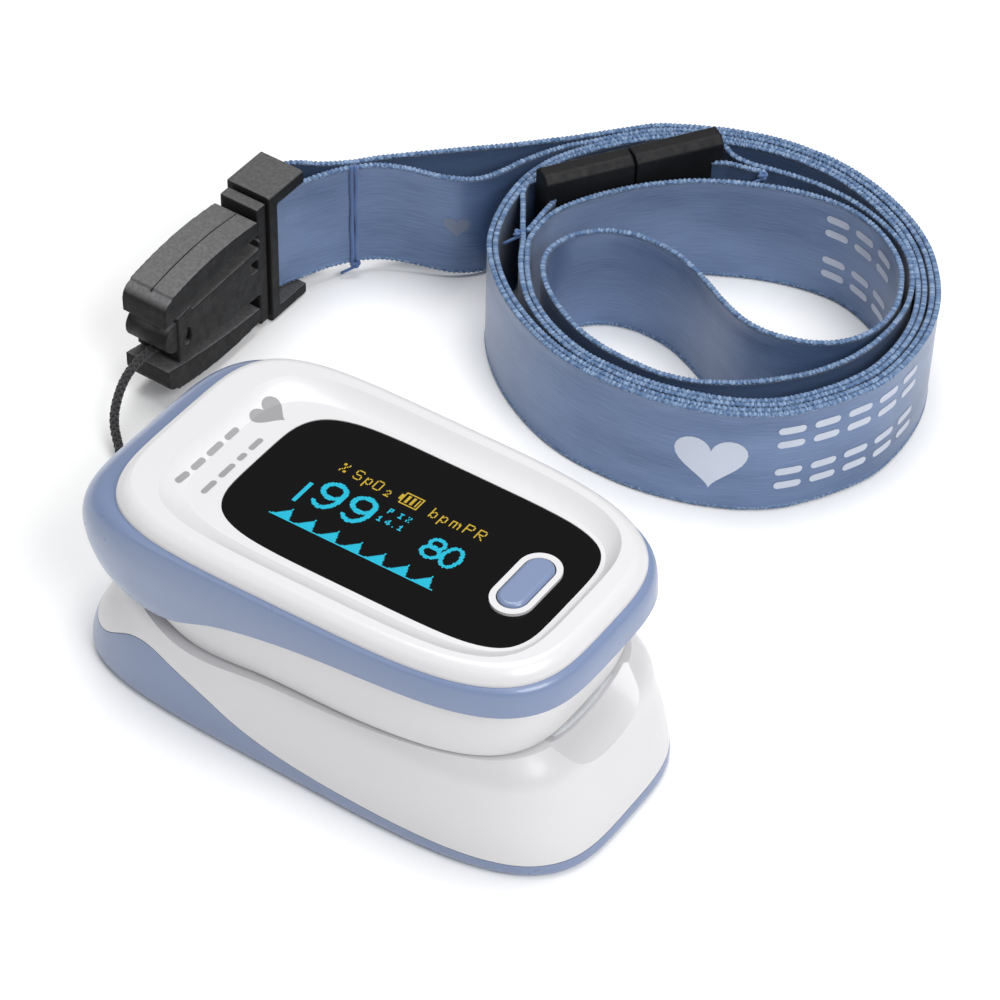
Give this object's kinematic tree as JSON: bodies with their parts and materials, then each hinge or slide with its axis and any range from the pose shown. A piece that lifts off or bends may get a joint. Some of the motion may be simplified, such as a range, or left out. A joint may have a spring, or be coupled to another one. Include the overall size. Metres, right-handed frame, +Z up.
{
  "type": "fingertip pulse oximeter",
  "caption": "Fingertip pulse oximeter: sprung clip with a tilted black display window and pill button, blue trim band, and a coiled neck ribbon on a quick-release buckle.",
  "frame": {"origin": "centre of the device's bounding box in plan, on its flat base; the string, buckle and ribbon are not counted", "axes": "+X towards the finger opening, +Y to the side where the ribbon lies, +Z up through the display"},
  "size_m": [0.0883, 0.1136, 0.0296],
  "materials": {
    "white_shell": "satin gloss",
    "blue_trim": "satin gloss",
    "black_window": "high gloss",
    "oled_panel": "gloss",
    "soft_pad": "matt",
    "circuit_board": "gloss",
    "chip_black": "matt",
    "lens_clear": "clear",
    "steel": "satin",
    "battery_jacket": "gloss",
    "flex_amber": "satin",
    "buckle_black": "grained",
    "string_black": "braided",
    "ribbon_blue": "satin weave"
  },
  "bodies": {
    "lower_half": {"lower_shell": "white_shell", "bottom_cover": "blue_trim", "lower_finger_pad": "soft_pad", "detector_board": "circuit_board", "photodiode": "chip_black", "detector_lens": "lens_clear", "hinge_pin": "steel", "torsion_springs": "steel", "battery_left": "battery_jacket", "battery_right": "battery_jacket", "battery_contacts": "steel", "battery_springs": "steel", "lower_screws": "steel", "flex_socket": "chip_black", "lanyard_string": "string_black", "buckle_plug": "buckle_black"},
    "upper_half": {"top_cover": "white_shell", "display_window": "black_window", "button_bezel": "white_shell", "band_trim": "blue_trim", "upper_shell": "white_shell", "main_board": "circuit_board", "board_chips": "chip_black", "oled_module": "oled_panel", "tactile_switch": "steel", "emitter_board": "circuit_board", "emitter_leds": "lens_clear", "emitter_lens": "lens_clear", "upper_finger_pad": "soft_pad", "upper_screws": "steel", "flex_cable": "flex_amber"},
    "power_button": {"power_button": "blue_trim"},
    "battery_door": {"battery_door": "blue_trim"},
    "lever_upper": {"squeeze_lever_upper": "buckle_black"},
    "lever_lower": {"squeeze_lever_lower": "buckle_black"},
    "strap": {"strap_frame": "buckle_black", "ribbon_back_strand": "ribbon_blue", "ribbon_front_strand": "ribbon_blue", "ribbon_clasp_tail": "ribbon_blue", "ribbon_outer_turn": "ribbon_blue", "ribbon_inner_turn": "ribbon_blue", "ribbon_end_loop": "ribbon_blue", "clasp_socket": "buckle_black", "clasp_plug": "buckle_black"}
  },
  "joints": [
    {"name": "clip_hinge", "type": "hinge", "parent": "lower_half", "child": "upper_half", "pos_m": [-0.01631, 0, 0.0147], "axis": [0, -1, 0], "range_deg": [0, 14], "stiffness_Nm_per_rad": 0.15, "springref_deg": -17.19},
    {"name": "button_press", "type": "slide", "parent": "upper_half", "child": "power_button", "axis": [0.0366, 0, -0.9993], "range_m": [0, 0.0004], "stiffness_N_per_m": 400, "springref_m": -0.0003},
    {"name": "door_slide", "type": "slide", "parent": "lower_half", "child": "battery_door", "axis": [-1, 0, 0], "range_m": [0, 0.006]},
    {"name": "lever_upper_pinch", "type": "hinge", "parent": "lower_half", "child": "lever_upper", "pos_m": [-0.05161, 0.023, 0.0152], "axis": [-1, 0, 0], "range_deg": [0, 3], "stiffness_Nm_per_rad": 0.2, "springref_deg": -1.72},
    {"name": "lever_lower_pinch", "type": "hinge", "parent": "lower_half", "child": "lever_lower", "pos_m": [-0.05161, 0.023, 0.0048], "axis": [1, 0, 0], "range_deg": [0, 3], "stiffness_Nm_per_rad": 0.2, "springref_deg": -1.72},
    {"name": "strap_release", "type": "slide", "parent": "lower_half", "child": "strap", "axis": [0, 1, 0], "range_m": [0, 0.01]}
  ]
}
